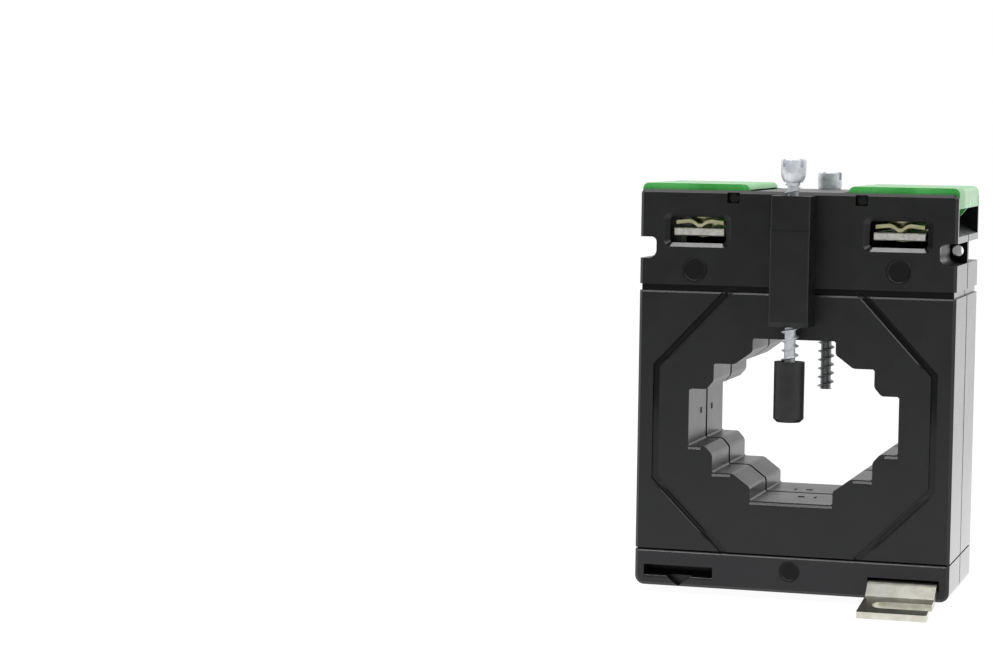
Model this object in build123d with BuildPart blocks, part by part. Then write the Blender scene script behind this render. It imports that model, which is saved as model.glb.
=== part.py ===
from build123d import *
import os
from math import cos, hypot, pi, radians, sqrt, tan

os.makedirs("parts", exist_ok=True)

# Window, stepped to take a flat, a middle or a tall bar, or a round conductor
flat_bar_width = 63.8
flat_bar_height = 17.4
middle_bar_width = 48.8
middle_bar_height = 33.2
tall_bar_width = 25.2
tall_bar_height = 49.2
inner_relief_width = 5.4
inner_relief_height = 4.0
outer_relief_width = 2.2
outer_relief_height = 2.5
window_corner = 0.45
sleeve_wall = 2.0

# Ring inside: a strip-wound core, its secondary winding and a tape wrap
core_build = 5.0
core_strip_width = 39.2
winding_thickness = 1.2
tape_thickness = 0.5
ring_clearance = 0.3
layer_clearance = 0.05
ring_sides = 40

# Housing walls and the room round the ring
wall = 2.4
ring_side_gap = 1.35
ring_underside = 7.85
ring_top_gap = 1.25
compartment_floor = 3.4
compartment_depth = 20.0
compartment_inner_wall = 1.8
compartment_outer_wall = 1.7
lower_corner = 2.8
upper_corner = 1.5
face_edge = 0.9
seam_edge = 0.3

# Moulded lines on the face: a belt, an octagon and a fine line below
belt_width = 2.0
fine_line_width = 0.5
line_depth = 0.7
octagon_inset = 5.8
octagon_top = 39.2
octagon_bottom = 40.9
octagon_top_corner = 20.0
octagon_bottom_corner = 20.0
octagon_upper = 15.4
octagon_lower = 18.8

# Locating pegs between the two halves
post_width = 6.4
post_inset = 5.0
post_low = 16.0
post_drop = 9.0
peg_radius = 1.5
peg_sides = 8
peg_length = 3.0
peg_clearance = 0.1

# Terminal plates, wire entries and pedestals
terminal_inset = 17.6
plate_width = 15.3
plate_thickness = 2.4
plate_inset = 3.0
plate_edge = 0.3
pedestal_height = 6.0
pedestal_half_depth = 5.0
entry_width = 17.4
entry_height = 7.9
entry_drop = 0.5
entry_corner = 1.2
bevel_side = 1.75
bevel_rise = 1.2
bevel_depth = 1.3

# Terminal screws and saddle washers
screw_inset = 10.0
screw_radius = 2.45
screw_hole_clearance = 0.05
screw_length = 9.2
screw_head_radius = 4.1
screw_head_height = 3.0
screw_head_chamfer = 0.8
screw_slot_width = 1.0
screw_slot_depth = 1.6
saddle_width = 14.6
saddle_depth = 12.4
saddle_thickness = 1.1
saddle_seat = 0.7
saddle_crown = 1.3
saddle_crown_x = 3.4
saddle_tip = 0.9
saddle_hole_clearance = 0.35
rest_gap = 0.2

# Lead wires from the ring to the terminal plates
lead_radius = 0.75
lead_inset = 4.1
lead_channel_clearance = 0.35
lead_end_gap = 0.15

# Side recesses, ledges, notches and sealing eyes
recess_depth = 5.1
ledge_rise = 2.0
ledge_slope = 2.5
notch_drop = 0.9
notch_height = 6.5
notch_upper_corner = 1.6
notch_lower_corner = 2.6
rib_half_thickness = 1.2
eye_radius = 1.65
eye_inset = 2.8
eye_height = 3.65

# Lids
hinge_from_terminal = 11.0
hinge_drop = 2.15
hinge_pin_radius = 1.45
hinge_pin_clearance = 0.15
hinge_slot_width = 3.7
pin_short = 1.5
lid_inner_reach = 4.4
lid_rise = 1.9
lid_thickness = 1.6
lid_skirt = 1.4
lid_skirt_drop = 4.0
lid_side_clearance = 0.2
lid_flap_thickness = 2.6
lid_flap_drop = 4.2
lid_lug_drop = 2.6
lid_lug_half_thickness = 1.1
lid_end_round = 1.8
lid_corner = 1.8
lid_edge = 0.5
hinge_swing_gap = 0.4

# Clamp channels and clamp screws
channel_width = 12.0
channel_depth = 10.4
channel_step = 0.4
channel_step_drop = 10.4
channel_lift = 4.3
channel_top_drop = 1.0
channel_edge = 0.8
channel_chamfer = 1.6
clamp_y = 6.5
clamp_thread_radius = 2.65
clamp_bore_clearance = 0.08
clamp_length = 61.9
clamp_point = 1.6
clamp_head_radius = 3.75
clamp_neck_radius = 2.1
clamp_head_cylinder = 4.1
clamp_head_taper = 2.9
clamp_slot_width = 1.2
clamp_slot_depth = 2.4
clamp_seat = 0.8
clamp_mouth = 1.0
front_clamp_raise = 4.7

# Insulating cap on the front clamp screw
cap_radius = 4.55
cap_length = 18.0
cap_bore_depth = 9.0
cap_bore_clearance = 0.08
cap_tip_gap = 0.3
cap_edge = 1.0

# Mounting feet and their slots
foot_slot_inset = 13.6
foot_slot_width = 21.4
foot_slot_z = 3.2
foot_slot_height = 3.2
foot_slot_depth = 11.0
foot_socket_wall = 1.6
foot_width = 20.5
foot_sheet = 2.0
foot_rise = 5.8
foot_reach = 22.0
foot_bend = 0.8
foot_lean = 4.5
foot_tilt = 7.0
foot_play = 0.3
foot_leg_end_gap = 0.6
foot_face_gap = 0.3
foot_hole_width = 6.5
foot_hole_y = 13.9
foot_hole_end = 3.4
foot_corner = 0.6
vee_half_width = 3.8
vee_depth = 3.0

# Sizes that follow
foot_drop = foot_rise - foot_play - foot_slot_z
slot_z = foot_drop + foot_slot_z
corner_reach = max(
    hypot(flat_bar_width / 2 + sleeve_wall, flat_bar_height / 2 + sleeve_wall),
    hypot(middle_bar_width / 2 + sleeve_wall, middle_bar_height / 2 + sleeve_wall),
    hypot(tall_bar_width / 2 + sleeve_wall, tall_bar_height / 2 + sleeve_wall),
)
ring_inner = corner_reach + ring_clearance
core_inner = ring_inner + tape_thickness + winding_thickness
core_outer = core_inner + core_build
ring_outer = core_outer + winding_thickness + tape_thickness
ring_length = core_strip_width + 2 * (winding_thickness + tape_thickness)
ring_corner = ring_outer / cos(pi / ring_sides)
half_depth = ring_length / 2 + ring_clearance + wall
screw_y = half_depth - screw_inset
half_width = ring_outer + ring_side_gap + wall
terminal_x = half_width - terminal_inset
hinge_x = terminal_x - hinge_from_terminal
foot_slot_x = half_width - foot_slot_inset
octagon_side = half_width - octagon_inset
window_z = foot_drop + ring_underside + ring_outer
chamber_top_z = window_z + ring_outer + ring_top_gap
floor_z = chamber_top_z + compartment_floor
top_z = floor_z + compartment_depth
body_height = top_z - foot_drop
inner_depth = half_depth - wall
plate_z = floor_z + pedestal_height
plate_top_z = plate_z + plate_thickness
entry_z = plate_top_z - entry_drop
hinge_z = top_z - hinge_drop
lid_top_z = top_z + lid_rise
lid_bottom_z = lid_top_z - lid_thickness
skirt_clear_z = lid_bottom_z - lid_skirt_drop - rest_gap
lid_half_depth = inner_depth - lid_side_clearance
lid_reach = hypot(lid_inner_reach, lid_top_z - hinge_z)
compartment_inner_x = hinge_x - lid_reach - hinge_swing_gap
recess_x = half_width - recess_depth
compartment_outer_x = recess_x - compartment_outer_wall
notch_z = floor_z - notch_drop
notch_top_z = notch_z + notch_height
channel_z = window_z + tall_bar_height / 2 + channel_lift
channel_top_z = top_z - channel_top_drop
leg_z = slot_z + foot_play
socket_z = foot_drop + wall / 2
socket_top_z = slot_z + foot_slot_height + foot_socket_wall
clamp_plane_y = half_depth + clamp_y
clamp_seat_z = channel_top_z - clamp_seat

seam_plane = Plane.XZ
face_plane = Plane.XZ.offset(half_depth)
window_plane = Plane(origin=(0, 0, window_z), x_dir=(1, 0, 0), z_dir=(0, -1, 0))


def window_outline(grow):
    """Stepped window seen from the front, with broken corners, or grown by a wall's thickness."""
    with BuildSketch(window_plane) as outline:
        # Sloping reliefs between the bars, inside the widest and the tallest one
        for half_width_in, half_height_in, relief_width, relief_height in (
            (tall_bar_width / 2, middle_bar_height / 2, inner_relief_width, inner_relief_height),
            (middle_bar_width / 2, flat_bar_height / 2, outer_relief_width, outer_relief_height),
        ):
            with BuildLine():
                Polyline(
                    (0, 0),
                    (0, half_height_in + relief_height),
                    (half_width_in, half_height_in + relief_height),
                    (half_width_in + relief_width, half_height_in),
                    (half_width_in + relief_width, 0),
                    close=True,
                )
            make_face()
        mirror(about=Plane.XZ)
        mirror(about=Plane.YZ)
        Rectangle(flat_bar_width, tall_bar_height, mode=Mode.INTERSECT)
        Rectangle(flat_bar_width, flat_bar_height)
        Rectangle(middle_bar_width, middle_bar_height)
        Rectangle(tall_bar_width, tall_bar_height)
        if grow > 0:
            offset(amount=grow, kind=Kind.INTERSECTION)
        else:
            shortest_edge = min(edge.length for edge in outline.edges())
            chamfer(outline.vertices(), min(window_corner, shortest_edge / 2.2))
    return outline.sketch


def octagon_groove():
    """Groove down one side of the octagon, with the same groove mirrored."""
    with BuildSketch(Plane(origin=(0, -half_depth, window_z), x_dir=(1, 0, 0), z_dir=(0, -1, 0))) as groove:
        with BuildLine():
            Polyline(
                (octagon_top_corner, octagon_top),
                (octagon_side, octagon_upper),
                (octagon_side, -octagon_lower),
                (octagon_bottom_corner, -octagon_bottom),
            )
        trace(line_width=belt_width)
        mirror(about=Plane.YZ)
    return groove.sketch


# One moulded half, made as the front one. It joins the other half at y = 0.
with BuildPart() as half_shell:
    with BuildSketch(seam_plane) as silhouette:
        with Locations((0, foot_drop + body_height / 2)):
            Rectangle(2 * half_width, body_height)
        fillet(silhouette.vertices().group_by(Axis.Y)[0], lower_corner)
        fillet(silhouette.vertices().group_by(Axis.Y)[-1], upper_corner)
    extrude(amount=half_depth)
    chamfer(half_shell.faces().sort_by(Axis.Y)[0].edges(), face_edge)
    chamfer(half_shell.faces().sort_by(Axis.Y)[-1].edges(), seam_edge)

    # Ring chamber, with a hollow tower between the two terminal compartments
    with BuildSketch(seam_plane):
        with Locations((0, (foot_drop + wall + chamber_top_z) / 2)):
            Rectangle(2 * (half_width - wall), chamber_top_z - foot_drop - wall)
        with Locations((0, (chamber_top_z + top_z - wall) / 2)):
            Rectangle(2 * (compartment_inner_x - compartment_inner_wall), top_z - wall - chamber_top_z)
    extrude(amount=inner_depth, mode=Mode.SUBTRACT)

    # Sleeve round the window, then the window
    extrude(window_outline(sleeve_wall), amount=half_depth)
    extrude(window_outline(0), amount=half_depth, mode=Mode.SUBTRACT)

    # Posts in the corners carry the locating pegs
    with BuildSketch(seam_plane):
        with Locations(
            (half_width - post_inset, foot_drop + post_low),
            (post_inset - half_width, foot_drop + post_low),
            (half_width - post_inset, chamber_top_z - post_drop),
            (post_inset - half_width, chamber_top_z - post_drop),
        ):
            Rectangle(post_width, post_width)
    extrude(amount=inner_depth)

    # Sockets round the foot slots, each slot with a rounded lower lip for the foot's bend
    with BuildSketch(face_plane):
        with Locations((foot_slot_x, (socket_z + socket_top_z) / 2), (-foot_slot_x, (socket_z + socket_top_z) / 2)):
            Rectangle(foot_slot_width + 2 * foot_socket_wall, socket_top_z - socket_z)
    extrude(amount=-(foot_slot_depth + foot_socket_wall))
    with BuildSketch(face_plane):
        with Locations((foot_slot_x, slot_z + foot_slot_height / 2), (-foot_slot_x, slot_z + foot_slot_height / 2)):
            Rectangle(foot_slot_width, foot_slot_height)
    extrude(amount=-foot_slot_depth, mode=Mode.SUBTRACT)
    lip_edges = half_shell.edges().filter_by(Axis.X).filter_by_position(Axis.Z, slot_z, slot_z)
    fillet(lip_edges.group_by(Axis.Y)[0], foot_bend)
    with BuildSketch(face_plane):
        for side in (-1, 1):
            with BuildLine():
                Polyline(
                    (side * foot_slot_x - vee_half_width, slot_z),
                    (side * foot_slot_x, foot_drop),
                    (side * foot_slot_x + vee_half_width, slot_z),
                    close=True,
                )
            make_face()
    extrude(amount=-vee_depth, mode=Mode.SUBTRACT)

    # Terminal compartments, open at the top; the outer wall ends below the lid's skirts
    with BuildSketch(seam_plane):
        for side in (-1, 1):
            with Locations((side * (compartment_inner_x + compartment_outer_x) / 2, (floor_z + top_z) / 2)):
                Rectangle(compartment_outer_x - compartment_inner_x, top_z - floor_z)
            with Locations((side * (compartment_outer_x + recess_x) / 2, (skirt_clear_z + top_z) / 2)):
                Rectangle(recess_x - compartment_outer_x, top_z - skirt_clear_z)
    extrude(amount=inner_depth, mode=Mode.SUBTRACT)

    # Pedestals under the terminal plates
    with BuildSketch(seam_plane):
        for side in (-1, 1):
            with Locations((side * terminal_x, (floor_z + plate_z) / 2)):
                Rectangle(plate_width, plate_z - floor_z)
    extrude(amount=pedestal_half_depth)

    # Channels for the lead wires, half in each shell
    with BuildSketch(Plane.XY.offset(chamber_top_z)):
        with Locations((terminal_x - lead_inset, 0), (lead_inset - terminal_x, 0)):
            Circle(lead_radius + lead_channel_clearance)
    extrude(amount=plate_z - chamber_top_z, mode=Mode.SUBTRACT)

    # Wire entries with bevelled mouths
    with BuildSketch(face_plane):
        for side in (-1, 1):
            with Locations((side * terminal_x, entry_z)):
                RectangleRounded(entry_width, entry_height, entry_corner)
    extrude(amount=-wall, mode=Mode.SUBTRACT)
    for side in (-1, 1):
        with BuildSketch(face_plane):
            with Locations((side * terminal_x, entry_z)):
                RectangleRounded(
                    entry_width + 2 * bevel_side,
                    entry_height + 2 * bevel_rise,
                    entry_corner + bevel_rise,
                )
        with BuildSketch(face_plane.offset(-bevel_depth)):
            with Locations((side * terminal_x, entry_z)):
                RectangleRounded(entry_width, entry_height, entry_corner)
        loft(mode=Mode.SUBTRACT)

    # Holes in the wall for the lid's hinge pins
    with BuildSketch(face_plane):
        with Locations((hinge_x, hinge_z), (-hinge_x, hinge_z)):
            Rectangle(hinge_slot_width, 2 * (hinge_pin_radius + hinge_pin_clearance))
    extrude(amount=-wall, mode=Mode.SUBTRACT)

    # Recess beside each compartment, above a sloping ledge
    with BuildSketch(seam_plane):
        with BuildLine():
            Polyline(
                (recess_x, notch_top_z + ledge_rise + ledge_slope),
                (half_width, notch_top_z + ledge_rise),
                (half_width, top_z),
                (recess_x, top_z),
                close=True,
            )
        make_face()
        mirror(about=Plane.YZ)
    extrude(amount=inner_depth, mode=Mode.SUBTRACT)

    # Notch in each side, with a rib left at the seam for the sealing eye
    with BuildSketch(seam_plane.offset(rib_half_thickness)) as notch:
        with Locations((half_width, notch_z + notch_height / 2)):
            Rectangle(2 * recess_depth, notch_height)
        inner_corners = notch.vertices().group_by(Axis.X)[0].sort_by(Axis.Y)
        fillet(inner_corners[0], notch_lower_corner)
        inner_corners = notch.vertices().group_by(Axis.X)[0].sort_by(Axis.Y)
        fillet(inner_corners[-1], notch_upper_corner)
        mirror(about=Plane.YZ)
    extrude(amount=half_depth, mode=Mode.SUBTRACT)
    with BuildSketch(seam_plane):
        with Locations(
            (half_width - eye_inset, notch_z + eye_height),
            (eye_inset - half_width, notch_z + eye_height),
        ):
            Circle(eye_radius)
    extrude(amount=rib_half_thickness, mode=Mode.SUBTRACT)

    # Moulded lines: the belt and the fine line run round the sides
    extrude(octagon_groove(), amount=-line_depth, mode=Mode.SUBTRACT)
    for line_z, line_width in (
        (window_z + octagon_top, belt_width),
        (window_z - octagon_bottom, fine_line_width),
    ):
        with BuildSketch(Plane.XY.offset(line_z - line_width / 2)):
            with Locations((0, -half_depth / 2)):
                Rectangle(2 * half_width, half_depth)
            with Locations((0, (line_depth - half_depth) / 2)):
                Rectangle(2 * (half_width - line_depth), half_depth - line_depth, mode=Mode.SUBTRACT)
        extrude(amount=line_width, mode=Mode.SUBTRACT)

    # Channel that guides the clamp screw, a little thicker below, with a sloping lower lip
    for depth, height in (
        (channel_depth, channel_top_z - channel_z),
        (channel_depth + channel_step, channel_top_z - channel_z - channel_step_drop),
    ):
        with BuildSketch(Plane.XY.offset(channel_z)) as plan:
            with Locations((0, -half_depth - depth / 2)):
                Rectangle(channel_width, depth)
            fillet(plan.vertices().group_by(Axis.Y)[0], channel_edge)
        extrude(amount=height)
    channel_face_y = -half_depth - channel_depth - channel_step
    with BuildSketch(Plane.YZ.offset(-channel_width / 2)):
        with BuildLine():
            Polyline(
                (channel_face_y, channel_z),
                (channel_face_y + channel_chamfer, channel_z),
                (channel_face_y, channel_z + channel_chamfer),
                close=True,
            )
        make_face()
    extrude(amount=channel_width, mode=Mode.SUBTRACT)
    with BuildSketch(Plane.XY.offset(channel_z)):
        with Locations((0, -clamp_plane_y)):
            Circle(clamp_thread_radius + clamp_bore_clearance)
    extrude(amount=channel_top_z - channel_z, mode=Mode.SUBTRACT)
    bore_mouth = half_shell.edges().filter_by(GeomType.CIRCLE).filter_by_position(
        Axis.Z, channel_top_z, channel_top_z
    )
    chamfer(bore_mouth.sort_by(SortBy.LENGTH)[-1], clamp_mouth)

peg_places = [
    (side * (half_width - post_inset), height)
    for side in (-1, 1)
    for height in (foot_drop + post_low, chamber_top_z - post_drop)
]

# Front half, with the locating pegs
with BuildPart() as front_shell:
    add(half_shell.part)
    with BuildSketch(seam_plane):
        with Locations(*peg_places):
            RegularPolygon(peg_radius, peg_sides)
    extrude(amount=-peg_length)
front_shell.part.label = "front_shell"
export_step(front_shell.part, "parts/front_shell.step")

# Rear half, the same moulding turned round, with sockets for the pegs
with BuildPart() as rear_shell:
    add(half_shell.part.rotate(Axis.Z, 180))
    with BuildSketch(seam_plane):
        with Locations(*peg_places):
            RegularPolygon(peg_radius + peg_clearance, peg_sides)
    extrude(amount=-(peg_length + peg_clearance), mode=Mode.SUBTRACT)
rear_shell.part.label = "rear_shell"
export_step(rear_shell.part, "parts/rear_shell.step")


def ring_layer(inner, outer, length, skin):
    """A hollow ring round the window's axis, with a wall of the given thickness, drawn with flats."""
    with BuildPart() as layer:
        for gap, mode in ((0, Mode.ADD), (skin, Mode.SUBTRACT)):
            if mode == Mode.ADD or skin > 0:
                with BuildSketch(window_plane):
                    RegularPolygon(outer - gap, ring_sides, major_radius=False)
                    RegularPolygon(inner + gap, ring_sides, major_radius=False, mode=Mode.SUBTRACT)
                extrude(amount=length / 2 - gap, both=True, mode=mode)
    return layer


# Strip-wound steel core
ring_core = ring_layer(
    core_inner + layer_clearance,
    core_outer - layer_clearance,
    core_strip_width - 2 * layer_clearance,
    0,
)
ring_core.part.label = "ring_core"
export_step(ring_core.part, "parts/ring_core.step")

# Secondary winding, laid all round the core
secondary_winding = ring_layer(
    core_inner - winding_thickness + layer_clearance,
    core_outer + winding_thickness - layer_clearance,
    core_strip_width + 2 * (winding_thickness - layer_clearance),
    winding_thickness - layer_clearance,
)
secondary_winding.part.label = "secondary_winding"
export_step(secondary_winding.part, "parts/secondary_winding.step")

# Tape wrap over the winding
winding_tape = ring_layer(ring_inner, ring_outer, ring_length, tape_thickness)
winding_tape.part.label = "winding_tape"
export_step(winding_tape.part, "parts/winding_tape.step")


def terminal_plate(side):
    """Plate from the front entry to the rear one, with a threaded hole at each end."""
    with BuildPart() as plate:
        with BuildSketch(Plane.XY.offset(plate_z)):
            with Locations((side * terminal_x, 0)):
                Rectangle(plate_width, 2 * (half_depth - plate_inset))
            with Locations((side * terminal_x, -screw_y), (side * terminal_x, screw_y)):
                Circle(screw_radius + screw_hole_clearance, mode=Mode.SUBTRACT)
        extrude(amount=plate_thickness)
        chamfer(plate.edges().filter_by(Axis.X), plate_edge)
    return plate


def lead_wire(side):
    """Wire from the ring up to the underside of the terminal plate."""
    wire_x = terminal_x - lead_inset
    start_z = window_z + sqrt(ring_corner**2 - (wire_x - lead_radius) ** 2) + lead_end_gap
    with BuildPart() as wire:
        with BuildSketch(Plane.XY.offset(start_z)):
            with Locations((side * wire_x, 0)):
                Circle(lead_radius)
        extrude(amount=plate_z - start_z)
    return wire


def terminal_screw(side, end):
    """Pan head screw with a cross slot; its thread ends below the plate."""
    seat_z = plate_top_z + 2 * rest_gap + saddle_crown + saddle_thickness
    axis_plane = Plane(origin=(side * terminal_x, end * screw_y, 0), x_dir=(1, 0, 0), z_dir=(0, -1, 0))
    with BuildPart() as screw:
        with BuildSketch(axis_plane):
            with BuildLine():
                Polyline(
                    (0, seat_z + screw_head_height),
                    (0, seat_z - screw_length),
                    (screw_radius, seat_z - screw_length),
                    (screw_radius, seat_z),
                    (screw_head_radius, seat_z),
                    (screw_head_radius, seat_z + screw_head_height - screw_head_chamfer),
                    (screw_head_radius - screw_head_chamfer, seat_z + screw_head_height),
                    close=True,
                )
            make_face()
        revolve(axis=Axis((side * terminal_x, end * screw_y, 0), (0, 0, 1)))
        with BuildSketch(Plane.XY.offset(seat_z + screw_head_height)):
            with Locations((side * terminal_x, end * screw_y)):
                Rectangle(2 * screw_head_radius, screw_slot_width)
                Rectangle(screw_slot_width, 2 * (screw_head_radius - 2 * screw_head_chamfer))
        extrude(amount=-screw_slot_depth, mode=Mode.SUBTRACT)
    return screw


def saddle_washer(side, end):
    """Brass saddle: two wings that grip a wire each, dipping to the plate between them."""
    base_z = plate_top_z + rest_gap
    saddle_plane = Plane(
        origin=(side * terminal_x, end * screw_y - saddle_depth / 2, base_z),
        x_dir=(1, 0, 0),
        z_dir=(0, -1, 0),
    )
    wing_end = saddle_width / 2
    with BuildPart() as saddle:
        with BuildSketch(saddle_plane):
            with BuildLine():
                for rise in (0, saddle_thickness):
                    Line((0, rise), (saddle_seat, rise))
                    TangentArc((saddle_crown_x, saddle_crown + rise), (saddle_seat, rise), tangent=(-1, 0))
                    Line((saddle_crown_x, saddle_crown + rise), (wing_end, saddle_tip + rise))
                Line((0, 0), (0, saddle_thickness))
                Line((wing_end, saddle_tip), (wing_end, saddle_tip + saddle_thickness))
            make_face()
            mirror(about=Plane.YZ)
        extrude(amount=-saddle_depth)
        with BuildSketch(Plane.XY.offset(base_z)):
            with Locations((side * terminal_x, end * screw_y)):
                Circle(screw_radius + saddle_hole_clearance)
        extrude(amount=saddle_crown + saddle_thickness, mode=Mode.SUBTRACT)
    return saddle


for side, side_name in ((-1, "left"), (1, "right")):
    plate = terminal_plate(side)
    plate.part.label = side_name + "_terminal_plate"
    export_step(plate.part, "parts/" + side_name + "_terminal_plate.step")

    wire = lead_wire(side)
    wire.part.label = side_name + "_lead_wire"
    export_step(wire.part, "parts/" + side_name + "_lead_wire.step")

    for end, end_name in ((-1, "front"), (1, "rear")):
        screw = terminal_screw(side, end)
        screw.part.label = end_name + "_" + side_name + "_terminal_screw"
        export_step(screw.part, "parts/" + end_name + "_" + side_name + "_terminal_screw.step")

        saddle = saddle_washer(side, end)
        saddle.part.label = end_name + "_" + side_name + "_saddle_washer"
        export_step(saddle.part, "parts/" + end_name + "_" + side_name + "_saddle_washer.step")

# Right lid: a plate with skirts inside the walls, a flap over the side and a lug for the seal
with BuildPart() as right_lid:
    with BuildSketch(Plane.XZ.offset(lid_half_depth)) as profile:
        with BuildLine():
            Polyline(
                (hinge_x - lid_inner_reach, lid_bottom_z - lid_skirt_drop),
                (hinge_x - lid_inner_reach, lid_top_z),
                (half_width, lid_top_z),
                (half_width, top_z - lid_flap_drop),
                (half_width - lid_flap_thickness, top_z - lid_flap_drop),
                (half_width - lid_flap_thickness, lid_bottom_z - lid_skirt_drop),
                close=True,
            )
        make_face()
        top_corners = profile.vertices().group_by(Axis.Y)[-1].sort_by(Axis.X)
        fillet(top_corners[0], lid_end_round)
        top_corners = profile.vertices().group_by(Axis.Y)[-1].sort_by(Axis.X)
        fillet(top_corners[-1], lid_corner)
    extrude(amount=-2 * lid_half_depth)

    # Hollow underside
    with BuildSketch(Plane.XY.offset(lid_bottom_z)):
        lid_inner_end = hinge_x - lid_inner_reach
        lid_hollow_end = half_width - lid_flap_thickness
        with Locations(((lid_inner_end + lid_hollow_end) / 2, 0)):
            Rectangle(lid_hollow_end - lid_inner_end, 2 * (lid_half_depth - lid_skirt))
    extrude(amount=-lid_skirt_drop, mode=Mode.SUBTRACT)

    # Lug in line with the sealing eye
    with BuildSketch(Plane.XZ.offset(lid_lug_half_thickness)):
        with BuildLine():
            Polyline(
                (half_width - lid_flap_thickness, top_z - lid_flap_drop),
                (half_width - lid_edge, top_z - lid_flap_drop),
                (half_width - lid_flap_thickness, top_z - lid_flap_drop - lid_lug_drop),
                close=True,
            )
        make_face()
    extrude(amount=-2 * lid_lug_half_thickness)

    # Hinge pins
    for end in (-1, 1):
        with BuildSketch(Plane.XZ.offset(end * (lid_half_depth - lid_skirt))):
            with Locations((hinge_x, hinge_z)):
                Circle(hinge_pin_radius)
        extrude(amount=end * (half_depth - pin_short - lid_half_depth + lid_skirt))
right_lid.part.label = "right_lid"
export_step(right_lid.part, "parts/right_lid.step")

# Left lid, the mirror image
with BuildPart() as left_lid:
    add(right_lid.part.mirror(Plane.YZ))
left_lid.part.label = "left_lid"
export_step(left_lid.part, "parts/left_lid.step")


def clamp_screw(end, head_z):
    """Long screw that holds the bar, with a bowl-shaped head and crossed slots."""
    axis_plane = Plane(origin=(0, end * clamp_plane_y, 0), x_dir=(1, 0, 0), z_dir=(0, -1, 0))
    tip_z = head_z - clamp_length
    rim_z = head_z + clamp_head_taper
    head_top_z = rim_z + clamp_head_cylinder
    with BuildPart() as screw:
        with BuildSketch(axis_plane):
            with BuildLine():
                Polyline(
                    (0, head_top_z),
                    (0, tip_z),
                    (clamp_thread_radius - clamp_point, tip_z),
                    (clamp_thread_radius, tip_z + clamp_point),
                    (clamp_thread_radius, head_z - clamp_seat),
                    (clamp_neck_radius, head_z),
                    (clamp_head_radius, rim_z),
                    (clamp_head_radius, head_top_z),
                    close=True,
                )
            make_face()
        revolve(axis=Axis((0, end * clamp_plane_y, 0), (0, 0, 1)))
        with BuildSketch(Plane.XY.offset(head_top_z)):
            with Locations((0, end * clamp_plane_y)):
                Rectangle(2 * clamp_head_radius, clamp_slot_width)
                Rectangle(clamp_slot_width, 2 * clamp_head_radius)
        extrude(amount=-clamp_slot_depth, mode=Mode.SUBTRACT)
    return screw


# Front clamp screw, run out a little, and the rear one, screwed home
front_clamp_screw = clamp_screw(-1, clamp_seat_z + front_clamp_raise)
front_clamp_screw.part.label = "front_clamp_screw"
export_step(front_clamp_screw.part, "parts/front_clamp_screw.step")

rear_clamp_screw = clamp_screw(1, clamp_seat_z)
rear_clamp_screw.part.label = "rear_clamp_screw"
export_step(rear_clamp_screw.part, "parts/rear_clamp_screw.step")

# Insulating cap over the front screw's tip
cap_bore_z = clamp_seat_z + front_clamp_raise - clamp_length - cap_tip_gap
with BuildPart() as tip_cap:
    with BuildSketch(Plane.XY.offset(cap_bore_z + cap_bore_depth - cap_length)):
        with Locations((0, -clamp_plane_y)):
            Circle(cap_radius)
    extrude(amount=cap_length)
    chamfer(tip_cap.edges().group_by(Axis.Z)[0], cap_edge)
    with BuildSketch(Plane.XY.offset(cap_bore_z)):
        with Locations((0, -clamp_plane_y)):
            Circle(clamp_thread_radius + cap_bore_clearance)
    extrude(amount=cap_bore_depth, mode=Mode.SUBTRACT)
tip_cap.part.label = "tip_cap"
export_step(tip_cap.part, "parts/tip_cap.step")

# Front foot: sheet bent twice, with an open slot in the part that slopes down to the surface
leg_end = half_depth - foot_slot_depth + foot_leg_end_gap
riser_top_y = half_depth + foot_face_gap + foot_sheet / 2
riser_foot_y = riser_top_y + foot_lean
toe_y = half_depth + foot_reach
toe_z = foot_sheet / 2 * cos(radians(foot_tilt))
with BuildPart() as front_foot:
    with BuildSketch(Plane.YZ.offset(foot_slot_x - foot_width / 2)):
        with BuildLine() as bends:
            FilletPolyline(
                (-leg_end, leg_z + foot_sheet / 2),
                (-riser_top_y, leg_z + foot_sheet / 2),
                (-riser_foot_y, toe_z + (toe_y - riser_foot_y) * tan(radians(foot_tilt))),
                (-toe_y, toe_z),
                radius=foot_bend + foot_sheet / 2,
            )
        trace(line_width=foot_sheet)
    extrude(amount=foot_width)
    fillet(front_foot.faces().sort_by(Axis.Y)[0].edges().filter_by(Axis.X, reverse=True), foot_corner)
    with BuildSketch(Plane.XY):
        with BuildLine():
            hole_y = -half_depth - foot_hole_y
            hole_left = foot_slot_x - foot_width / 2 + foot_hole_end + foot_hole_width / 2
            hole_right = foot_slot_x + foot_width / 2
            Line((hole_left, hole_y + foot_hole_width / 2), (hole_right, hole_y + foot_hole_width / 2))
            Line((hole_right, hole_y + foot_hole_width / 2), (hole_right, hole_y - foot_hole_width / 2))
            Line((hole_right, hole_y - foot_hole_width / 2), (hole_left, hole_y - foot_hole_width / 2))
            ThreePointArc(
                (hole_left, hole_y - foot_hole_width / 2),
                (hole_left - foot_hole_width / 2, hole_y),
                (hole_left, hole_y + foot_hole_width / 2),
            )
        make_face()
    extrude(amount=leg_z, mode=Mode.SUBTRACT)
front_foot.part.label = "front_foot"
export_step(front_foot.part, "parts/front_foot.step")

# Rear foot, the same piece turned round in the opposite corner
with BuildPart() as rear_foot:
    add(front_foot.part.rotate(Axis.Z, 180))
rear_foot.part.label = "rear_foot"
export_step(rear_foot.part, "parts/rear_foot.step")
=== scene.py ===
from math import pi, radians

import bmesh
import bpy
from mathutils import Matrix, Vector


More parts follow.
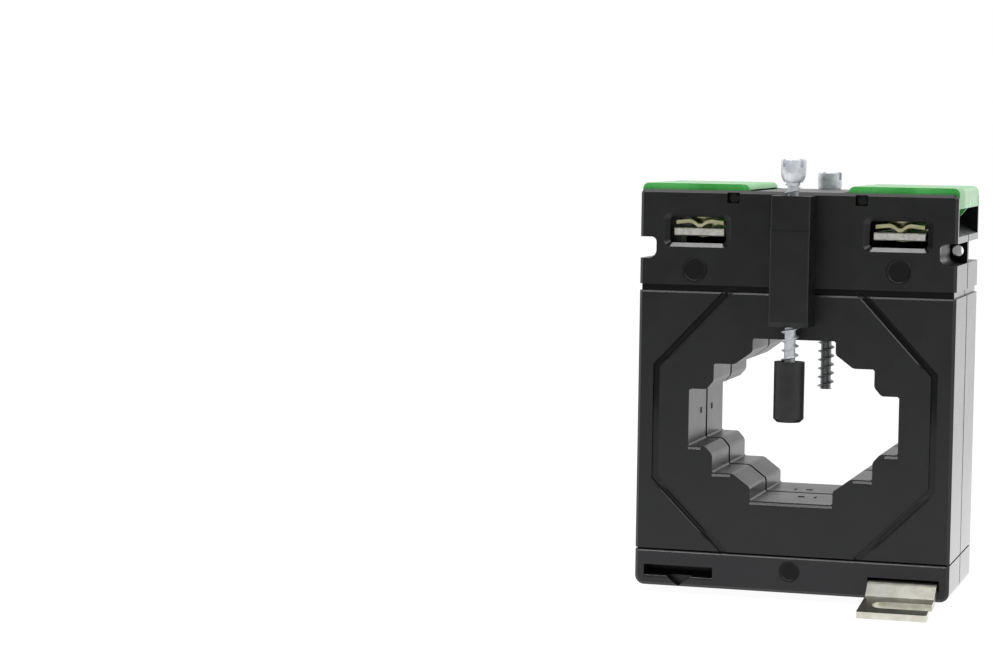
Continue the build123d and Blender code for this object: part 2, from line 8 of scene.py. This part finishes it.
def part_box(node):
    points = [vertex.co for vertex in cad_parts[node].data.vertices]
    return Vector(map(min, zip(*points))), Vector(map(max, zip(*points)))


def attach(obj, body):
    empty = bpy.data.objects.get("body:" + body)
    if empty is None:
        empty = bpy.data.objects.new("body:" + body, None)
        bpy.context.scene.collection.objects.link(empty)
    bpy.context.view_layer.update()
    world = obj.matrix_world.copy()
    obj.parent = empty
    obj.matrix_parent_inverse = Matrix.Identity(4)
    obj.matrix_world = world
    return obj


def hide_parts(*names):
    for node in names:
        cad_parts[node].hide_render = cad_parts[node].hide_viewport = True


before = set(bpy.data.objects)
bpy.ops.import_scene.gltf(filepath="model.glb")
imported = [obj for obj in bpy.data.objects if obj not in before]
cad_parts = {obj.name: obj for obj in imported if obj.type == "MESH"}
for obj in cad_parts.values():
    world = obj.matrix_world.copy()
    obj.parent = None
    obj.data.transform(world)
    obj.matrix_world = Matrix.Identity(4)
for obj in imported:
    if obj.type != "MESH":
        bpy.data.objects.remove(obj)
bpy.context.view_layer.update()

# Camera and studio.
# The camera stands a little above the window, to the right of the housing. The ground is a pale
# sheet that ends a little way in front, so the front face mirrors a dimmer room in its upper part.
camera_data = bpy.data.cameras.new("camera")
camera_data.lens = 101.093
camera_data.sensor_width = 36.0
camera_data.clip_start = 0.01
camera_data.clip_end = 30.0
camera = bpy.data.objects.new("camera", camera_data)
camera.location = (0.15723, -0.84695, 0.142578)
camera.rotation_euler = (radians(90 - 4.2744), radians(-0.7848), radians(16.987))
bpy.context.scene.collection.objects.link(camera)
bpy.context.scene.camera = camera
bpy.context.scene.view_settings.view_transform = "Standard"


class Signal:
    """A socket of a node tree. Sums and products of signals add the maths nodes they need."""

    def __init__(self, socket):
        self.socket = socket
        self.tree = socket.id_data

    @staticmethod
    def node(tree, kind, settings=(), inputs=(), output=0):
        """Adds one node: its settings first, then the values or links of its sockets."""
        made = tree.nodes.new(kind)
        for name, value in dict(settings).items():
            if name == "stops":
                while len(made.color_ramp.elements) < len(value):
                    made.color_ramp.elements.new(0.5)
                for element, (place, colour) in zip(made.color_ramp.elements, value):
                    element.position = place
                    element.color = (*colour, 1.0)
            else:
                setattr(made, name, value)
        for key, value in dict(inputs).items():
            if isinstance(value, Signal):
                tree.links.new(value.socket, made.inputs[key])
            else:
                made.inputs[key].default_value = value
        return Signal(made.outputs[output])

    def maths(self, operation, other=0.5, swapped=False):
        first, second = (other, self) if swapped else (self, other)
        return Signal.node(self.tree, "ShaderNodeMath", {"operation": operation}, {0: first, 1: second})

    def __add__(self, other):
        return self.maths("ADD", other)

    __radd__ = __add__

    def __mul__(self, other):
        return self.maths("MULTIPLY", other)

    __rmul__ = __mul__

    def __sub__(self, other):
        return self.maths("SUBTRACT", other)

    def __rsub__(self, other):
        return self.maths("SUBTRACT", other, swapped=True)

    def rise(self, low, high):
        """0 below one value, 1 above the other, and smooth between them."""
        return Signal.node(self.tree, "ShaderNodeMapRange", {"interpolation_type": "SMOOTHSTEP"},
                           {"Value": self, "From Min": low, "From Max": high})


world = bpy.data.worlds.new("studio")
bpy.context.scene.world = world
world.use_nodes = True
room = world.node_tree
room.nodes.clear()
ray = Signal.node(room, "ShaderNodeLightPath")
seen = Signal(ray.socket.node.outputs["Is Camera Ray"])
mirrored = Signal(ray.socket.node.outputs["Is Glossy Ray"])
through = Signal(ray.socket.node.outputs["Is Transmission Ray"])
heading = Signal.node(room, "ShaderNodeTexCoord", output=0)
depth_of_view = Signal.node(room, "ShaderNodeSeparateXYZ", {}, {0: heading}, output=1)
room_level = depth_of_view.rise(-0.6, 0.2) * 0.94 + 0.06
level = seen + (1 - seen) * (through + (1 - through) * (mirrored * room_level + (1 - mirrored) * 0.55))
sky = Signal.node(room, "ShaderNodeBackground", {}, {"Color": (1.0, 1.0, 1.0, 1.0), "Strength": level})
world_output = room.nodes.new("ShaderNodeOutputWorld")
room.links.new(sky.socket, world_output.inputs["Surface"])

for lamp_name, place, aim, width, power in (
    ("key_lamp", (-0.3, -0.95, 1.55), (0.0, 0.0, 0.05), 0.5, 13.0),
    ("fill_lamp", (1.1, -0.5, 1.2), (0.0, 0.0, 0.05), 0.9, 9.0),
    ("top_lamp", (-0.5, 0.5, 1.6), (0.0, 0.0, 0.05), 1.1, 11.0),
):
    lamp_data = bpy.data.lights.new(lamp_name, "AREA")
    lamp_data.size = width
    lamp_data.energy = power
    lamp = bpy.data.objects.new(lamp_name, lamp_data)
    lamp.location = place
    lamp.rotation_euler = (Vector(aim) - Vector(place)).to_track_quat("-Z", "Y").to_euler()
    bpy.context.scene.collection.objects.link(lamp)

ground_mesh = bmesh.new()
bmesh.ops.create_grid(ground_mesh, x_segments=1, y_segments=1, size=1.0)
bmesh.ops.scale(ground_mesh, vec=(4.0, 2.6, 1.0), verts=ground_mesh.verts)
bmesh.ops.translate(ground_mesh, vec=(0.0, 1.8, 0.0), verts=ground_mesh.verts)
ground_data = bpy.data.meshes.new("ground")
ground_mesh.to_mesh(ground_data)
ground_mesh.free()
ground = bpy.data.objects.new("ground", ground_data)
bpy.context.scene.collection.objects.link(ground)
sheet = bpy.data.materials.new("white_sheet")
sheet.use_nodes = True
sheet_tree = sheet.node_tree
sheet_tree.nodes.clear()
ray = Signal.node(sheet_tree, "ShaderNodeLightPath")
seen = Signal(ray.socket.node.outputs["Is Camera Ray"])
mirrored = Signal(ray.socket.node.outputs["Is Glossy Ray"])
through = Signal(ray.socket.node.outputs["Is Transmission Ray"])
paper = Signal.node(sheet_tree, "ShaderNodeBsdfDiffuse", {}, {"Color": (0.86, 0.86, 0.86, 1.0)})
glow = Signal.node(sheet_tree, "ShaderNodeEmission", {}, {"Color": (1.0, 1.0, 1.0, 1.0), "Strength": 1.06})
share = seen * 0.9 + mirrored * 0.9 + through * 0.9
blend = Signal.node(sheet_tree, "ShaderNodeMixShader", {}, {0: share, 1: paper, 2: glow})
sheet_output = sheet_tree.nodes.new("ShaderNodeOutputMaterial")
sheet_tree.links.new(blend.socket, sheet_output.inputs["Surface"])
ground_data.materials.append(sheet)


# Housing: front and rear half shell.
# Two alike half shells, injection moulded in black glass-filled plastic with a fine eroded texture,
# pegged together at mid depth. The flat faces are a little mottled, and the walls inside are smoother.
# The floors of the grooves and the channel, the joint and the compartment walls carry painted shade.
def new_finish(name, constants):
    """A material with one Principled shader. Gives the material, its tree, the shader and the place."""
    material = bpy.data.materials.new(name)
    material.use_nodes = True
    tree = material.node_tree
    shader = tree.nodes["Principled BSDF"]
    for socket, value in constants.items():
        shader.inputs[socket].default_value = value
    place = Signal.node(tree, "ShaderNodeTexCoord", output=3)
    return material, tree, shader, place


def feed(tree, shader, links):
    """Links signals to the sockets of a shader."""
    for socket, signal in links.items():
        tree.links.new(signal.socket, shader.inputs[socket])


def noise(tree, place, scale, detail=3.0, roughness=0.5):
    return Signal.node(tree, "ShaderNodeTexNoise", {},
                       {"Vector": place, "Scale": scale, "Detail": detail, "Roughness": roughness})


def stretch(tree, place, scale):
    """Squeezes a pattern along the axes, as brushing or drawing does."""
    return Signal.node(tree, "ShaderNodeMapping", {}, {"Vector": place, "Scale": scale})


def along(tree, vector, axis):
    """One of the three numbers of a vector."""
    return Signal.node(tree, "ShaderNodeSeparateXYZ", {}, {0: vector}, output=axis)


def two_tone(tree, factor, dark, light):
    return Signal.node(tree, "ShaderNodeMix", {"data_type": "RGBA"},
                       {0: factor, 6: (*dark, 1.0), 7: (*light, 1.0)}, output=2)


def bump(tree, height, depth):
    """Turns a height from 0 to 1 into a slope, for a relief of the given depth in metres."""
    return Signal.node(tree, "ShaderNodeBump", {}, {"Strength": 1.0, "Distance": depth, "Height": height})


def coat_nodes(material, *nodes):
    """Gives carried-over nodes their finish."""
    for node in nodes:
        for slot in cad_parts[node].material_slots:
            slot.material = material


moulding, tree, shader, place = new_finish("black_moulding", {
    "IOR": 1.5, "Coat IOR": 1.5, "Coat Roughness": 0.1})
grain = noise(tree, place, 5200.0, 2.0)
mottle = noise(tree, place, 140.0, 4.0, 0.6)
flow = noise(tree, place, 24.0, 2.0)
facing = Signal.node(tree, "ShaderNodeTexCoord", output=1)
flank = along(tree, facing, 0).maths("ABSOLUTE").rise(0.7, 0.9)
outward_part = along(tree, facing, 1).maths("ABSOLUTE")
outward = outward_part.rise(0.75, 0.9)
off_joint = along(tree, place, 1).maths("ABSOLUTE")
wide = along(tree, place, 0).maths("ABSOLUTE")
outer_side = wide.rise(0.042, 0.044)
height = along(tree, place, 2)
# Painted shade on the floors of the grooves and the channel, weaker on the lower grooves.
painted_groove_shade = outward * (1 - off_joint.rise(0.0235, 0.0238)) * (height.rise(0.05, 0.064) * 0.8 + 0.2)
# The compartment walls, which take painted shade and a rougher finish.
indoors = height.rise(0.0955, 0.0965) * (1 - height.rise(0.1215, 0.122))
indoors = indoors * (1 - off_joint.rise(0.0215, 0.022)) * (1 - outer_side)
joint = (off_joint * (1 / 0.0012)).maths("MINIMUM", 1.0)
window_zone = (1 - wide.rise(0.034, 0.035)) * height.rise(0.027, 0.028) * (1 - height.rise(0.081, 0.082))
broad_joint = (off_joint * (1 / 0.0018)).maths("MINIMUM", 1.0) * 2
joint = joint + window_zone * (broad_joint - joint - 1)
belt_lip = ((height - 0.0921) * (1 / 0.0006)).maths("MAXIMUM", 0.0).maths("MINIMUM", 1.0)
belt_lip = belt_lip * (1 - off_joint.rise(0.0241, 0.0243))
upper_run = (wide - 0.02) * 0.731 + (height - 0.0936) * 0.682
upper_lip = upper_run.rise(-0.0016, -0.001) * (1 - upper_run.rise(-0.0005, 0.0005))
upper_lip = upper_lip * height.rise(0.0715, 0.074) * (1 - height.rise(0.093, 0.094))
lower_run = (wide - 0.02) * 0.7055 - (height - 0.0135) * 0.7087
lower_lip = lower_run.rise(-0.0005, 0.0005) * (1 - lower_run.rise(0.001, 0.0016))
lower_lip = lower_lip * height.rise(0.0165, 0.0205) * (1 - height.rise(0.031, 0.0345))
fine_lip = height.rise(0.0126, 0.0132) * (1 - height.rise(0.0133, 0.0138))
lips = upper_lip * 0.5 + lower_lip * 0.48 + fine_lip * 0.42
lips = lips * outward * (1 - off_joint.rise(0.0241, 0.0243))
upturned = along(tree, facing, 2)
rounded = outward_part.rise(0.5, 0.6) * upturned.rise(0.5, 0.6) * (1 - upturned.rise(0.8, 0.9))
rounded = rounded * (1 - height.rise(0.1165, 0.1175))
# Painted shade: the groove floors, the joint and the compartment walls get a darker skin colour and are made
# partly metallic, which darkens them further.
painted_shade = painted_groove_shade.maths("MAXIMUM", 1 - off_joint.rise(0.0005, 0.001)).maths("MAXIMUM", indoors)
skin = two_tone(tree, (mottle.rise(0.3, 0.7) * 0.35 + 0.65) * (1 - painted_shade * 0.7),
                (0.001, 0.001, 0.001), (0.0068, 0.0074, 0.0072))
foot_band = outward * (1 - height.rise(0.0128, 0.0134)) * (1 - painted_shade)
feed(tree, shader, {
    "Base Color": Signal.node(tree, "ShaderNodeMix", {"data_type": "RGBA"},
                              {0: foot_band, 6: skin, 7: (0.0105, 0.0102, 0.0125, 1.0)}, output=2),
    "Metallic": painted_shade * 0.55,
    "Roughness": (mottle * 0.1 + flow * 0.08 + 0.28 + painted_shade * 0.1 + indoors * 0.2
                  - flank * (outer_side * 0.1 + 0.08) - rounded * 0.08),
    "Coat Weight": flank * outer_side * (0.8 - height.rise(0.0, 0.06) * 0.52),
    "Normal": bump(tree, joint - belt_lip * 0.6 - lips + rounded * height * 587.0 + grain * 0.004,
                   0.00075),
})
coat_nodes(moulding, "front_shell", "rear_shell")


# Round marks on the faces.
# Left by round mould inserts, two below the wire entries and one near the lower edge, on each half.
# A raised ring stands round a bare disc with a coarser, duller skin. They are part of the moulding.
def finished(name, mesh, material, body, replaces=()):
    """Makes an object in metres from a mesh in millimetres, and fixes it to its body."""
    bmesh.ops.scale(mesh, vec=(0.001, 0.001, 0.001), verts=mesh.verts)
    bmesh.ops.recalc_face_normals(mesh, faces=mesh.faces)
    data = bpy.data.meshes.new(name)
    mesh.to_mesh(data)
    mesh.free()
    data.materials.append(material)
    piece = bpy.data.objects.new(name, data)
    bpy.context.scene.collection.objects.link(piece)
    if replaces:
        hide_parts(*replaces)
    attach(piece, body)
    return piece


def lathe(mesh, outline, steps, centre=(0, 0, 0), axis=(0, 0, 1), closed=False):
    """Turns an outline, given as radius and height above the centre, all round an upright axis."""
    corners = [mesh.verts.new((radius, 0.0, height)) for radius, height in outline]
    lines = [mesh.edges.new(pair) for pair in zip(corners, corners[1:])]
    if closed:
        lines.append(mesh.edges.new((corners[-1], corners[0])))
    before = set(mesh.verts) - set(corners)
    bmesh.ops.spin(mesh, geom=corners + lines, cent=(0, 0, 0), axis=(0, 0, 1), dvec=(0, 0, 0),
                   angle=2 * pi, steps=steps, use_merge=True)
    turned = [corner for corner in mesh.verts if corner not in before]
    bmesh.ops.remove_doubles(mesh, verts=turned, dist=0.0005)
    turned = [corner for corner in mesh.verts if corner not in before]
    turn = Vector((0, 0, 1)).rotation_difference(Vector(axis)).to_matrix().to_4x4()
    bmesh.ops.transform(mesh, matrix=Matrix.Translation(centre) @ turn, verts=turned)
    return turned


insert_skin, tree, shader, place = new_finish("insert_skin", {"IOR": 1.45})
pits = noise(tree, place, 1500.0, 3.0)
rim_face = along(tree, Signal.node(tree, "ShaderNodeTexCoord", output=1), 1).maths("ABSOLUTE").rise(0.9, 0.98)
feed(tree, shader, {
    "Base Color": two_tone(tree, pits.rise(0.3, 0.7), (0.002, 0.002, 0.002), (0.006, 0.006, 0.006)),
    "Metallic": rim_face * 0.4,
    "Roughness": pits * 0.15 + 0.4,
    "Normal": bump(tree, pits, 0.00002),
})
face_y = 24.0
mark_places = ((-30.9, 99.3, 3.8), (30.9, 100.3, 3.8), (0.0, 8.9, 3.15))
for half, out in (("front", -1), ("rear", 1)):
    for number, (across, up, radius) in enumerate(mark_places, 1):
        mark = bmesh.new()
        lathe(mark, ((0.0, -0.3), (radius, -0.3), (radius, 0.12), (radius - 0.15, 0.3), (radius - 0.4, 0.3),
                     (radius - 0.7, 0.03), (0.0, 0.03)), 48,
              centre=(-out * across, out * face_y, up), axis=(0, out, 0))
        finished(f"{half}_mark_{number}", mark, insert_skin, "housing")


# Pips in the window.
# Short raised bars that the mould leaves on the walls of the window, one on each side and two at the
# bottom of each half, of the same black plastic with a duller skin.
flat_window_side = 31.9
tall_window_floor = 29.8
for half, out in (("front", -1), ("rear", 1)):
    pips = bmesh.new()
    for across, deep, up, size in (
        (-flat_window_side, 6.7, 54.9, (0.4, 1.3, 1.8)),
        (flat_window_side, 8.5, 54.9, (0.4, 1.3, 1.8)),
        (0.3, 8.5, tall_window_floor, (2.0, 1.0, 0.4)),
        (4.7, 8.7, tall_window_floor, (0.6, 2.6, 0.4)),
    ):
        made = bmesh.ops.create_cube(pips, size=1.0)["verts"]
        bmesh.ops.scale(pips, vec=size, verts=made)
        bmesh.ops.translate(pips, vec=(-out * across, out * deep, up), verts=made)
    bmesh.ops.bevel(pips, geom=pips.edges, offset=0.08, affect="EDGES", segments=2, profile=0.5, material=-1)
    finished(f"{half}_window_pips", pips, insert_skin, "housing")


# Sill beads.
# A fine wedge-shaped bead below each level sill of the window, on both faces of the housing, moulded
# with it. Its outer side slopes in towards the sill, and catches the light from above.
bead_height = 0.7
bead_stand = 0.39
bead_root = 0.3
sills = ((0.0, 12.6, 29.8), (18.7, 24.4, 37.8), (28.0, 31.9, 45.7))
for half, out in (("front", -1), ("rear", 1)):
    beads = bmesh.new()
    for near, far, sill in sills:
        spans = ((near, far), (-far, -near)) if near else ((-far, far),)
        for left, right in spans:
            made = bmesh.ops.create_cube(beads, size=1.0)["verts"]
            sloped = [corner for corner in made if corner.co.y * out > 0 and corner.co.z > 0]
            bmesh.ops.scale(beads, vec=(right - left, bead_stand + bead_root, bead_height), verts=made)
            bmesh.ops.translate(beads, vec=(0, -out * bead_stand, 0), verts=sloped)
            bmesh.ops.translate(beads, vec=((left + right) / 2, out * (face_y + (bead_stand - bead_root) / 2),
                                            sill - 0.4 - bead_height / 2), verts=made)
    finished(f"{half}_sill_beads", beads, moulding, "housing")


# Lids.
# Two hinged covers, injection moulded in clear green plastic, that snap into the compartments.
# Rims and end flaps are painted paler, as painted light for the light that enters their tops and comes out at
# the edges.
lid_green, tree, shader, place = new_finish("clear_green", {"IOR": 1.5, "Transmission Weight": 0.15})
cloud = noise(tree, place, 90.0, 3.0)
fine = noise(tree, place, 1400.0, 2.0)
facing = Signal.node(tree, "ShaderNodeTexCoord", output=1)
hinge_x = 0.0194
end_flap = along(tree, facing, 0).maths("ABSOLUTE").rise(0.3, 0.8)
end_flap = end_flap * along(tree, place, 0).maths("ABSOLUTE").rise(0.046, 0.0465)
inside_rim = 1 - (along(tree, place, 1) - 0.0045).maths("ABSOLUTE").rise(0.0125, 0.0165)
hinge_gap = 1 - (along(tree, place, 0).maths("ABSOLUTE") - hinge_x).maths("ABSOLUTE").rise(0.0022, 0.0026)
hinge_gap = hinge_gap * (1 - along(tree, place, 2).rise(0.1231, 0.1233))
# Painted shade: the ends of the hinge pins, deep in the hinge slots, are coloured nearly black.
pin_end_shade = along(tree, place, 1).maths("ABSOLUTE").rise(0.0212, 0.0214) * hinge_gap
# Painted light: the end flaps and their rims get a pale green that stands for light coming out at the edges.
painted_glow = end_flap * inside_rim * 0.65
body = two_tone(tree, cloud.rise(0.3, 0.7), (0.045, 0.36, 0.06), (0.09, 0.5, 0.11))
body_with_glow = Signal.node(tree, "ShaderNodeMix", {"data_type": "RGBA"},
                  {0: painted_glow, 6: body, 7: (0.5, 0.8, 0.5, 1.0)}, output=2)
feed(tree, shader, {
    "Base Color": Signal.node(tree, "ShaderNodeMix", {"data_type": "RGBA"},
                              {0: pin_end_shade, 6: body_with_glow, 7: (0.012, 0.01, 0.008, 1.0)}, output=2),
    "Roughness": cloud * 0.1 + 0.22,
    "Normal": bump(tree, fine, 0.000001),
})
coat_nodes(lid_green, "left_lid", "right_lid")

# Clamp screws.
# Long steel screws with a coarse thread, a bowl-shaped head and crossed slots, zinc plated.
# The thread cuts into its bore, so the core is thin and the thread is sharp.
def plated_screw(name, dark, light, thread_shade):
    """Zinc plate on a screw. The thread, below the housing's top, is darker, as painted shade."""
    zinc, tree, shader, place = new_finish(name, {"Metallic": 0.6})
    streaks = noise(tree, stretch(tree, place, (1.0, 1.0, 6.0)), 500.0, 3.0)
    patches = noise(tree, place, 260.0, 3.0)
    # Painted shade: below the housing's top the colour is scaled down by thread_shade.
    head = along(tree, place, 2).rise(0.112, 0.118) * (1 - thread_shade) + thread_shade
    feed(tree, shader, {
        "Base Color": two_tone(tree, (patches.rise(0.3, 0.7) * 0.4 + 0.6) * head, dark, light),
        "Roughness": streaks * 0.16 + 0.34,
        "Normal": bump(tree, streaks, 0.00001),
    })
    return zinc


thread_pitch = 2.75
thread_crest = 2.62
thread_core = 1.65
clamp_length = 61.9
clamp_head_height = 7.0


def thread_tube(mesh, core, crest, pitch, low, high, steps=24):
    """A threaded rod, closed at both ends: one pitch of its outline, turned along a helix."""
    outline = ((core, 0.0), (core, 0.66 * pitch), (crest, 0.8 * pitch), (crest, 0.86 * pitch), (core, pitch))
    corners = [mesh.verts.new((radius, 0.0, low - 2 * pitch + height)) for radius, height in outline]
    lines = [mesh.edges.new(pair) for pair in zip(corners, corners[1:])]
    turns = int((high - low) / pitch) + 4
    before = set(mesh.verts) - set(corners)
    bmesh.ops.spin(mesh, geom=corners + lines, cent=(0, 0, 0), axis=(0, 0, 1),
                   dvec=(0, 0, pitch / steps), angle=2 * pi * turns, steps=steps * turns)
    rod = [corner for corner in mesh.verts if corner not in before]
    bmesh.ops.remove_doubles(mesh, verts=rod, dist=0.002)
    for height, outward in ((low, -1), (high, 1)):
        rod = [corner for corner in mesh.verts if corner not in before]
        geometry = rod + [e for e in mesh.edges if e.verts[0] not in before]
        geometry += [f for f in mesh.faces if f.verts[0] not in before]
        bmesh.ops.bisect_plane(mesh, geom=geometry, dist=0.0005, plane_co=(0, 0, height),
                               plane_no=(0, 0, outward), clear_outer=True)
        rim = [e for e in mesh.edges if e.is_boundary and all(abs(v.co.z - height) < 0.01 for v in e.verts)]
        bmesh.ops.edgeloop_fill(mesh, edges=rim)
    return [corner for corner in mesh.verts if corner not in before]


def slotted(piece, cutters):
    """Cuts slots, given as boxes with a centre, a size and a turn, into a finished piece."""
    for centre, size, turn in cutters:
        box = bmesh.new()
        bmesh.ops.create_cube(box, size=1.0)
        bmesh.ops.scale(box, vec=Vector(size) * 0.001, verts=box.verts)
        bmesh.ops.rotate(box, cent=(0, 0, 0), matrix=Matrix.Rotation(turn, 3, "Z"), verts=box.verts)
        bmesh.ops.translate(box, vec=Vector(centre) * 0.001, verts=box.verts)
        data = bpy.data.meshes.new("cutter")
        box.to_mesh(data)
        box.free()
        cutter = bpy.data.objects.new("cutter", data)
        bpy.context.scene.collection.objects.link(cutter)
        cut = piece.modifiers.new("slot", "BOOLEAN")
        cut.operation = "DIFFERENCE"
        cut.solver = "EXACT"
        cut.object = cutter
        graph = bpy.context.evaluated_depsgraph_get()
        result = bpy.data.meshes.new_from_object(piece.evaluated_get(graph))
        piece.modifiers.clear()
        old = piece.data
        result.name = old.name + "_cut"
        piece.data = result
        bpy.data.meshes.remove(old)
        bpy.data.objects.remove(cutter)
        bpy.data.meshes.remove(data)


# The rear screw's thread takes a strong painted shade, the front screw's none.
for end, turn, thread_shade in (("front", radians(-38), 1.0), ("rear", radians(-20), 0.34)):
    zinc = plated_screw(f"{end}_zinc", (0.03, 0.03, 0.02), (0.82, 0.85, 0.89), thread_shade)
    low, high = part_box(f"{end}_clamp_screw")
    axis_y = (low.y + high.y) / 2 * 1000
    top = high.z * 1000
    seat = top - clamp_head_height
    screw = bmesh.new()
    lathe(screw, ((0.0, top), (3.45, top), (3.75, top - 0.3), (3.75, seat + 2.9), (3.62, seat + 2.0),
                  (3.3, seat + 1.1), (2.85, seat + 0.35), (2.6, seat + 0.15), (2.1, seat),
                  (1.95, seat - 0.9), (0.0, seat - 0.9)), 48)
    thread_tube(screw, thread_core, thread_crest, thread_pitch, low.z * 1000, seat - 0.5)
    bmesh.ops.translate(screw, vec=(0, axis_y, 0), verts=screw.verts)
    piece = finished(f"{end}_clamp_screw_threaded", screw, zinc, f"{end}_clamp_screw",
                     (f"{end}_clamp_screw",))
    slotted(piece, (((0, axis_y, top), (9.0, 1.2, 4.8), turn),
                    ((0, axis_y, top), (9.0, 1.2, 4.8), turn + radians(90))))

# Insulating cap.
# A sleeve pushed on the tip of the front clamp screw, moulded in a black plastic that is a little
# smoother and greyer than the housing, so that the screw can press on a bar.
cap_black, tree, shader, place = new_finish("cap_black", {"IOR": 1.5})
haze = noise(tree, place, 300.0, 3.0)
feed(tree, shader, {
    "Base Color": two_tone(tree, haze.rise(0.3, 0.7), (0.009, 0.0095, 0.009), (0.014, 0.015, 0.014)),
    "Roughness": haze * 0.1 + 0.42,
    "Normal": bump(tree, haze, 0.00002),
})
coat_nodes(cap_black, "tip_cap")

# Terminal plates.
# Thick brass strips, nickel plated, that run through each compartment from one entry to the other.
# Their sawn ends show in the entries.
plated, tree, shader, place = new_finish("nickel_plate", {"Metallic": 1.0})
scratches = noise(tree, stretch(tree, place, (1.0, 0.15, 1.0)), 1600.0, 3.0)
spots = noise(tree, place, 700.0, 4.0, 0.7)
feed(tree, shader, {
    "Base Color": two_tone(tree, spots.rise(0.25, 0.75), (0.68, 0.67, 0.6), (0.97, 0.96, 0.9)),
    "Roughness": scratches * 0.2 + 0.4,
    "Normal": bump(tree, spots, 0.00005),
})
coat_nodes(plated, "left_terminal_plate", "right_terminal_plate")

# Saddle washers and terminal screws.
# Stamped brass saddles whose wings grip a wire on each side of the screw, and brass pan head screws
# with crossed slots, both bright and a little greenish.
brass, tree, shader, place = new_finish("bright_brass", {"Metallic": 1.0})
rub = noise(tree, stretch(tree, place, (0.2, 1.0, 1.0)), 900.0, 3.0)
feed(tree, shader, {
    "Base Color": two_tone(tree, rub.rise(0.3, 0.7), (0.75, 0.74, 0.4), (0.95, 0.94, 0.62)),
    "Roughness": rub * 0.2 + 0.3,
    "Normal": bump(tree, rub, 0.00001),
})
coat_nodes(brass, *(f"{end}_{side}_saddle_washer" for end in ("front", "rear") for side in ("left", "right")))
screw_head_height = 3.0
for end in ("front", "rear"):
    for side in ("left", "right"):
        name = f"{end}_{side}_terminal_screw"
        low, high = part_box(name)
        middle = (low + high) / 2 * 1000
        top = high.z * 1000
        seat = top - screw_head_height
        screw = bmesh.new()
        lathe(screw, ((0.0, top), (2.4, top - 0.05), (3.2, top - 0.35), (3.8, top - 0.9), (4.1, top - 1.7),
                      (4.1, seat + 0.1), (4.0, seat), (2.2, seat), (2.2, seat - 0.4), (0.0, seat - 0.4)), 40)
        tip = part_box(f"{side}_terminal_plate")[0].z * 1000 - 0.4
        thread_tube(screw, 2.0, 2.42, 0.8, tip, seat - 0.2, steps=20)
        bmesh.ops.translate(screw, vec=(middle.x, middle.y, 0), verts=screw.verts)
        piece = finished(name + "_threaded", screw, brass, name, (name,))
        slotted(piece, (((middle.x, middle.y, top), (9.0, 1.0, 3.2), 0.0),
                        ((middle.x, middle.y, top), (1.0, 5.4, 3.2), 0.0)))

# Mounting feet.
# Steel strip 2 mm thick, cut off, slotted and bent twice, then nickel plated. The flat parts mirror
# the housing.
foot_nickel, tree, shader, place = new_finish("foot_nickel", {"Metallic": 1.0})
rolling = noise(tree, stretch(tree, place, (0.06, 1.0, 1.0)), 1500.0, 3.0)
stain = noise(tree, place, 160.0, 4.0, 0.6)
feed(tree, shader, {
    "Base Color": two_tone(tree, stain.rise(0.3, 0.7), (0.6, 0.59, 0.5), (0.8, 0.79, 0.7)),
    "Roughness": rolling * 0.12 + stain * 0.08 + 0.21,
    "Normal": bump(tree, rolling, 0.000012),
})
coat_nodes(foot_nickel, "front_foot", "rear_foot")

# Ring inside.
# A strip-wound steel core, an enamelled copper winding laid all round it, a polyester tape wrap,
# and two insulated leads up to the terminal plates.
core_steel, tree, shader, place = new_finish("core_strip", {"Metallic": 1.0})
centred = Signal.node(tree, "ShaderNodeMapping", {}, {"Vector": place, "Location": (0.0, 0.0, -0.0544)})
layers = Signal.node(tree, "ShaderNodeTexWave",
                     {"wave_type": "RINGS", "rings_direction": "Y", "wave_profile": "SIN"},
                     {"Vector": centred, "Scale": 400.0, "Distortion": 0.4})
feed(tree, shader, {
    "Base Color": two_tone(tree, layers, (0.2, 0.2, 0.21), (0.5, 0.5, 0.52)),
    "Roughness": layers * 0.2 + 0.35,
})
coat_nodes(core_steel, "ring_core")

enamel, tree, shader, place = new_finish("enamelled_copper", {"Metallic": 0.6, "Coat Weight": 0.4})
strands = noise(tree, stretch(tree, place, (1.0, 0.1, 1.0)), 2600.0, 2.0)
feed(tree, shader, {
    "Base Color": two_tone(tree, strands.rise(0.35, 0.65), (0.22, 0.06, 0.02), (0.6, 0.24, 0.1)),
    "Roughness": strands * 0.2 + 0.25,
    "Normal": bump(tree, strands, 0.0001),
})
coat_nodes(enamel, "secondary_winding")

wrap, tree, shader, place = new_finish("polyester_tape", {"IOR": 1.5})
overlap = Signal.node(tree, "ShaderNodeTexWave", {"wave_type": "BANDS", "bands_direction": "DIAGONAL"},
                      {"Vector": place, "Scale": 40.0, "Distortion": 1.0})
feed(tree, shader, {
    "Base Color": two_tone(tree, overlap, (0.55, 0.4, 0.1), (0.75, 0.6, 0.22)),
    "Roughness": overlap * 0.15 + 0.3,
})
coat_nodes(wrap, "winding_tape")

lead_skin, tree, shader, place = new_finish("lead_insulation", {"IOR": 1.45})
rings = noise(tree, place, 800.0, 2.0)
feed(tree, shader, {
    "Base Color": two_tone(tree, rings, (0.35, 0.03, 0.02), (0.5, 0.06, 0.04)),
    "Roughness": rings * 0.2 + 0.4,
})
coat_nodes(lead_skin, "left_lead_wire", "right_lead_wire")
